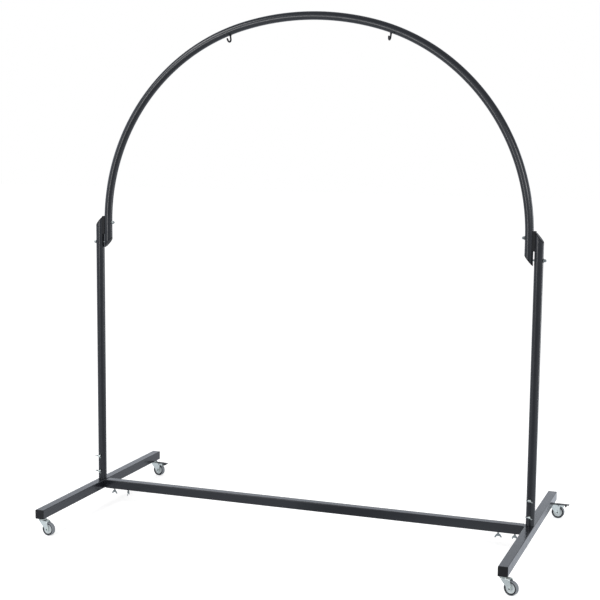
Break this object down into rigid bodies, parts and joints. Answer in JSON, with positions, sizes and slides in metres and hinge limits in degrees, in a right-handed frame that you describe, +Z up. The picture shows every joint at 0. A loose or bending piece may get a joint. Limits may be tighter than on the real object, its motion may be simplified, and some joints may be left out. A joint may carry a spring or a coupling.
{
  "type": "gong stand",
  "caption": "Wheeled floor stand for a large gong: an arch of round tube with hooks, bolted to posts on an H-shaped base of square tube with swivel casters.",
  "frame": {"origin": "on the floor, midway between the posts and midway along the legs", "axes": "+Z up, +X from the left post to the right post, +Y to the back, where the braked casters are"},
  "size_m": [2.2411, 1.2004, 2.365],
  "materials": {
    "black_paint": "satin black powder coat",
    "black_plastic": "moulded black plastic",
    "black_steel": "blackened steel",
    "zinc_plate": "bright zinc plate",
    "wheel_plastic": "moulded light grey plastic",
    "tyre_rubber": "grey rubber tread"
  },
  "bodies": {
    "stand": {"left_leg": "black_paint", "left_leg_back_cap": "black_plastic", "left_leg_front_cap": "black_plastic", "left_post": "black_paint", "left_post_cap": "black_plastic", "left_arch_cap": "black_plastic", "left_spacer": "black_plastic", "left_upper_joint_screw": "zinc_plate", "left_lower_joint_screw": "zinc_plate", "left_hook": "black_steel", "front_left_caster_stem": "zinc_plate", "front_left_swivel_ring": "zinc_plate", "back_left_caster_stem": "zinc_plate", "back_left_swivel_ring": "zinc_plate", "right_leg": "black_paint", "right_leg_back_cap": "black_plastic", "right_leg_front_cap": "black_plastic", "right_post": "black_paint", "right_post_cap": "black_plastic", "right_arch_cap": "black_plastic", "right_spacer": "black_plastic", "right_upper_joint_screw": "zinc_plate", "right_lower_joint_screw": "zinc_plate", "right_hook": "black_steel", "front_right_caster_stem": "zinc_plate", "front_right_swivel_ring": "zinc_plate", "back_right_caster_stem": "zinc_plate", "back_right_swivel_ring": "zinc_plate", "crossbar": "black_paint", "arch": "black_paint"},
    "left_post_wing_screw_near": {"left_post_wing_screw_near": "zinc_plate"},
    "left_crossbar_wing_screw_near": {"left_crossbar_wing_screw_near": "zinc_plate"},
    "left_post_wing_screw_far": {"left_post_wing_screw_far": "zinc_plate"},
    "left_crossbar_wing_screw_far": {"left_crossbar_wing_screw_far": "zinc_plate"},
    "front_left_caster": {"front_left_fork": "zinc_plate", "front_left_axle": "zinc_plate"},
    "front_left_wheel": {"front_left_wheel": "wheel_plastic", "front_left_tyre": "tyre_rubber"},
    "back_left_caster": {"back_left_fork": "zinc_plate", "back_left_axle": "zinc_plate", "back_left_pedal_pin": "zinc_plate"},
    "back_left_wheel": {"back_left_wheel": "wheel_plastic", "back_left_tyre": "tyre_rubber"},
    "back_left_pedal": {"back_left_brake_lever": "zinc_plate", "back_left_pedal_cover": "black_plastic"},
    "right_post_wing_screw_near": {"right_post_wing_screw_near": "zinc_plate"},
    "right_crossbar_wing_screw_near": {"right_crossbar_wing_screw_near": "zinc_plate"},
    "right_post_wing_screw_far": {"right_post_wing_screw_far": "zinc_plate"},
    "right_crossbar_wing_screw_far": {"right_crossbar_wing_screw_far": "zinc_plate"},
    "front_right_caster": {"front_right_fork": "zinc_plate", "front_right_axle": "zinc_plate"},
    "front_right_wheel": {"front_right_wheel": "wheel_plastic", "front_right_tyre": "tyre_rubber"},
    "back_right_caster": {"back_right_fork": "zinc_plate", "back_right_axle": "zinc_plate", "back_right_pedal_pin": "zinc_plate"},
    "back_right_wheel": {"back_right_wheel": "wheel_plastic", "back_right_tyre": "tyre_rubber"},
    "back_right_pedal": {"back_right_brake_lever": "zinc_plate", "back_right_pedal_cover": "black_plastic"}
  },
  "joints": [
    {"name": "left_post_wing_screw_near_turn", "type": "hinge", "parent": "stand", "child": "left_post_wing_screw_near", "pos_m": [-1.06, -0.03, 0.165], "axis": [0, -1, 0], "continuous": true},
    {"name": "left_crossbar_wing_screw_near_turn", "type": "hinge", "parent": "stand", "child": "left_crossbar_wing_screw_near", "pos_m": [-0.994, 0, 0.069], "axis": [0, 0, -1], "continuous": true},
    {"name": "left_post_wing_screw_far_turn", "type": "hinge", "parent": "stand", "child": "left_post_wing_screw_far", "pos_m": [-1.06, -0.03, 0.24], "axis": [0, -1, 0], "continuous": true},
    {"name": "left_crossbar_wing_screw_far_turn", "type": "hinge", "parent": "stand", "child": "left_crossbar_wing_screw_far", "pos_m": [-0.919, 0, 0.069], "axis": [0, 0, -1], "continuous": true},
    {"name": "front_left_swivel", "type": "hinge", "parent": "stand", "child": "front_left_caster", "pos_m": [-1.06, -0.57, 0.07], "axis": [0, 0, 1], "continuous": true},
    {"name": "front_left_wheel_spin", "type": "hinge", "parent": "front_left_caster", "child": "front_left_wheel", "pos_m": [-1.02633, -0.57473, 0.03], "axis": [0.1392, 0.9903, 0], "continuous": true},
    {"name": "back_left_swivel", "type": "hinge", "parent": "stand", "child": "back_left_caster", "pos_m": [-1.06, 0.57, 0.07], "axis": [0, 0, 1], "continuous": true},
    {"name": "back_left_wheel_spin", "type": "hinge", "parent": "back_left_caster", "child": "back_left_wheel", "pos_m": [-1.02642, 0.56468, 0.03], "axis": [0.1564, 0.9877, 0], "continuous": true},
    {"name": "back_left_pedal_press", "type": "hinge", "parent": "back_left_caster", "child": "back_left_pedal", "pos_m": [-1.02247, 0.56405, 0.0643], "axis": [0.1564, 0.9877, 0], "range_deg": [0, 8]},
    {"name": "right_post_wing_screw_near_turn", "type": "hinge", "parent": "stand", "child": "right_post_wing_screw_near", "pos_m": [1.06, -0.03, 0.165], "axis": [0, -1, 0], "continuous": true},
    {"name": "right_crossbar_wing_screw_near_turn", "type": "hinge", "parent": "stand", "child": "right_crossbar_wing_screw_near", "pos_m": [0.994, 0, 0.069], "axis": [0, 0, -1], "continuous": true},
    {"name": "right_post_wing_screw_far_turn", "type": "hinge", "parent": "stand", "child": "right_post_wing_screw_far", "pos_m": [1.06, -0.03, 0.24], "axis": [0, -1, 0], "continuous": true},
    {"name": "right_crossbar_wing_screw_far_turn", "type": "hinge", "parent": "stand", "child": "right_crossbar_wing_screw_far", "pos_m": [0.919, 0, 0.069], "axis": [0, 0, -1], "continuous": true},
    {"name": "front_right_swivel", "type": "hinge", "parent": "stand", "child": "front_right_caster", "pos_m": [1.06, -0.57, 0.07], "axis": [0, 0, 1], "continuous": true},
    {"name": "front_right_wheel_spin", "type": "hinge", "parent": "front_right_caster", "child": "front_right_wheel", "pos_m": [1.09234, -0.58051, 0.03], "axis": [0.309, 0.9511, 0], "continuous": true},
    {"name": "back_right_swivel", "type": "hinge", "parent": "stand", "child": "back_right_caster", "pos_m": [1.06, 0.57, 0.07], "axis": [0, 0, 1], "continuous": true},
    {"name": "back_right_wheel_spin", "type": "hinge", "parent": "back_right_caster", "child": "back_right_wheel", "pos_m": [1.09398, 0.56881, 0.03], "axis": [0.0349, 0.9994, 0], "continuous": true},
    {"name": "back_right_pedal_press", "type": "hinge", "parent": "back_right_caster", "child": "back_right_pedal", "pos_m": [1.09798, 0.56867, 0.0643], "axis": [0.0349, 0.9994, 0], "range_deg": [0, 8]}
  ]
}
